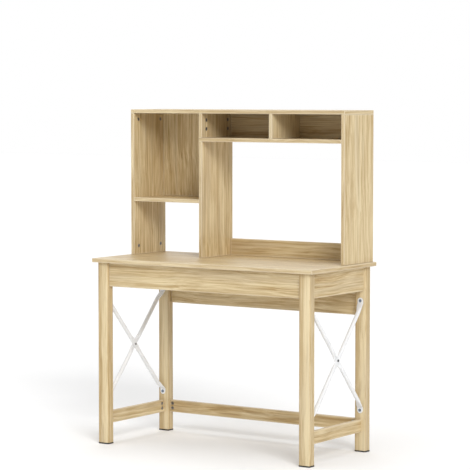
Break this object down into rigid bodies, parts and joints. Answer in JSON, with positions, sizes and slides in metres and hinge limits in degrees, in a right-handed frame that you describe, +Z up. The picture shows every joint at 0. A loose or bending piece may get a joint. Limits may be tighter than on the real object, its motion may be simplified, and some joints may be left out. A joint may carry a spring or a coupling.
{
  "type": "writing desk with hutch",
  "caption": "Oak-effect writing desk on square legs with crossed white side braces, carrying an open shelf hutch with file bay, wide bay and small cubbies.",
  "frame": {"origin": "on the floor, under the middle of the desk top", "axes": "+Z up, +X to the seated user's right, +Y from the user to the back edge"},
  "size_m": [1.04, 0.48, 1.345],
  "materials": {
    "oak_board": "matt wood-grain foil on particle board, light natural oak",
    "white_steel": "satin white powder coat on steel tube",
    "black_plastic": "matt moulded plastic",
    "zinc": "dull zinc alloy, darkened in the slots",
    "blued_steel": "blue-grey zinc plated screws"
  },
  "bodies": {
    "root": {"cam_lock_divider_back_high": "zinc", "cam_lock_divider_back_low": "zinc", "cam_lock_divider_front_high": "zinc", "cam_lock_divider_front_low": "zinc", "cam_lock_side_left_back_high": "zinc", "cam_lock_side_left_back_low": "zinc", "cam_lock_side_left_front_high": "zinc", "cam_lock_side_left_front_low": "zinc", "cam_lock_stretcher_back_left_lower": "zinc", "cam_lock_stretcher_back_left_upper": "zinc", "cam_lock_stretcher_back_right_lower": "zinc", "cam_lock_stretcher_back_right_upper": "zinc", "cam_lock_stretcher_left_back_lower": "zinc", "cam_lock_stretcher_left_back_upper": "zinc", "cam_lock_stretcher_left_front_lower": "zinc", "cam_lock_stretcher_left_front_upper": "zinc", "desk_apron_front": "oak_board", "desk_apron_left": "oak_board", "desk_apron_right": "oak_board", "desk_back_panel": "oak_board", "desk_brace_bolt_left": "zinc", "desk_brace_bolt_right": "zinc", "desk_brace_left_falling": "white_steel", "desk_brace_left_rising": "white_steel", "desk_brace_nut_left": "zinc", "desk_brace_nut_right": "zinc", "desk_brace_right_falling": "white_steel", "desk_brace_right_rising": "white_steel", "desk_brace_screw_left_back_high": "blued_steel", "desk_brace_screw_left_back_low": "blued_steel", "desk_brace_screw_left_front_high": "blued_steel", "desk_brace_screw_left_front_low": "blued_steel", "desk_brace_screw_right_back_high": "blued_steel", "desk_brace_screw_right_back_low": "blued_steel", "desk_brace_screw_right_front_high": "blued_steel", "desk_brace_screw_right_front_low": "blued_steel", "desk_foot_pad_back_left": "black_plastic", "desk_foot_pad_back_right": "black_plastic", "desk_foot_pad_front_left": "black_plastic", "desk_foot_pad_front_right": "black_plastic", "desk_leg_back_left": "oak_board", "desk_leg_back_right": "oak_board", "desk_leg_front_left": "oak_board", "desk_leg_front_right": "oak_board", "desk_stretcher_back": "oak_board", "desk_stretcher_left": "oak_board", "desk_stretcher_right": "oak_board", "desk_top": "oak_board", "hutch_back_cubbies": "oak_board", "hutch_back_left": "oak_board", "hutch_back_rail": "oak_board", "hutch_cubby_divider": "oak_board", "hutch_divider_lower": "oak_board", "hutch_divider_upper": "oak_board", "hutch_shelf_left": "oak_board", "hutch_shelf_middle": "oak_board", "hutch_side_left": "oak_board", "hutch_side_right": "oak_board", "hutch_top": "oak_board"}
  },
  "joints": []
}
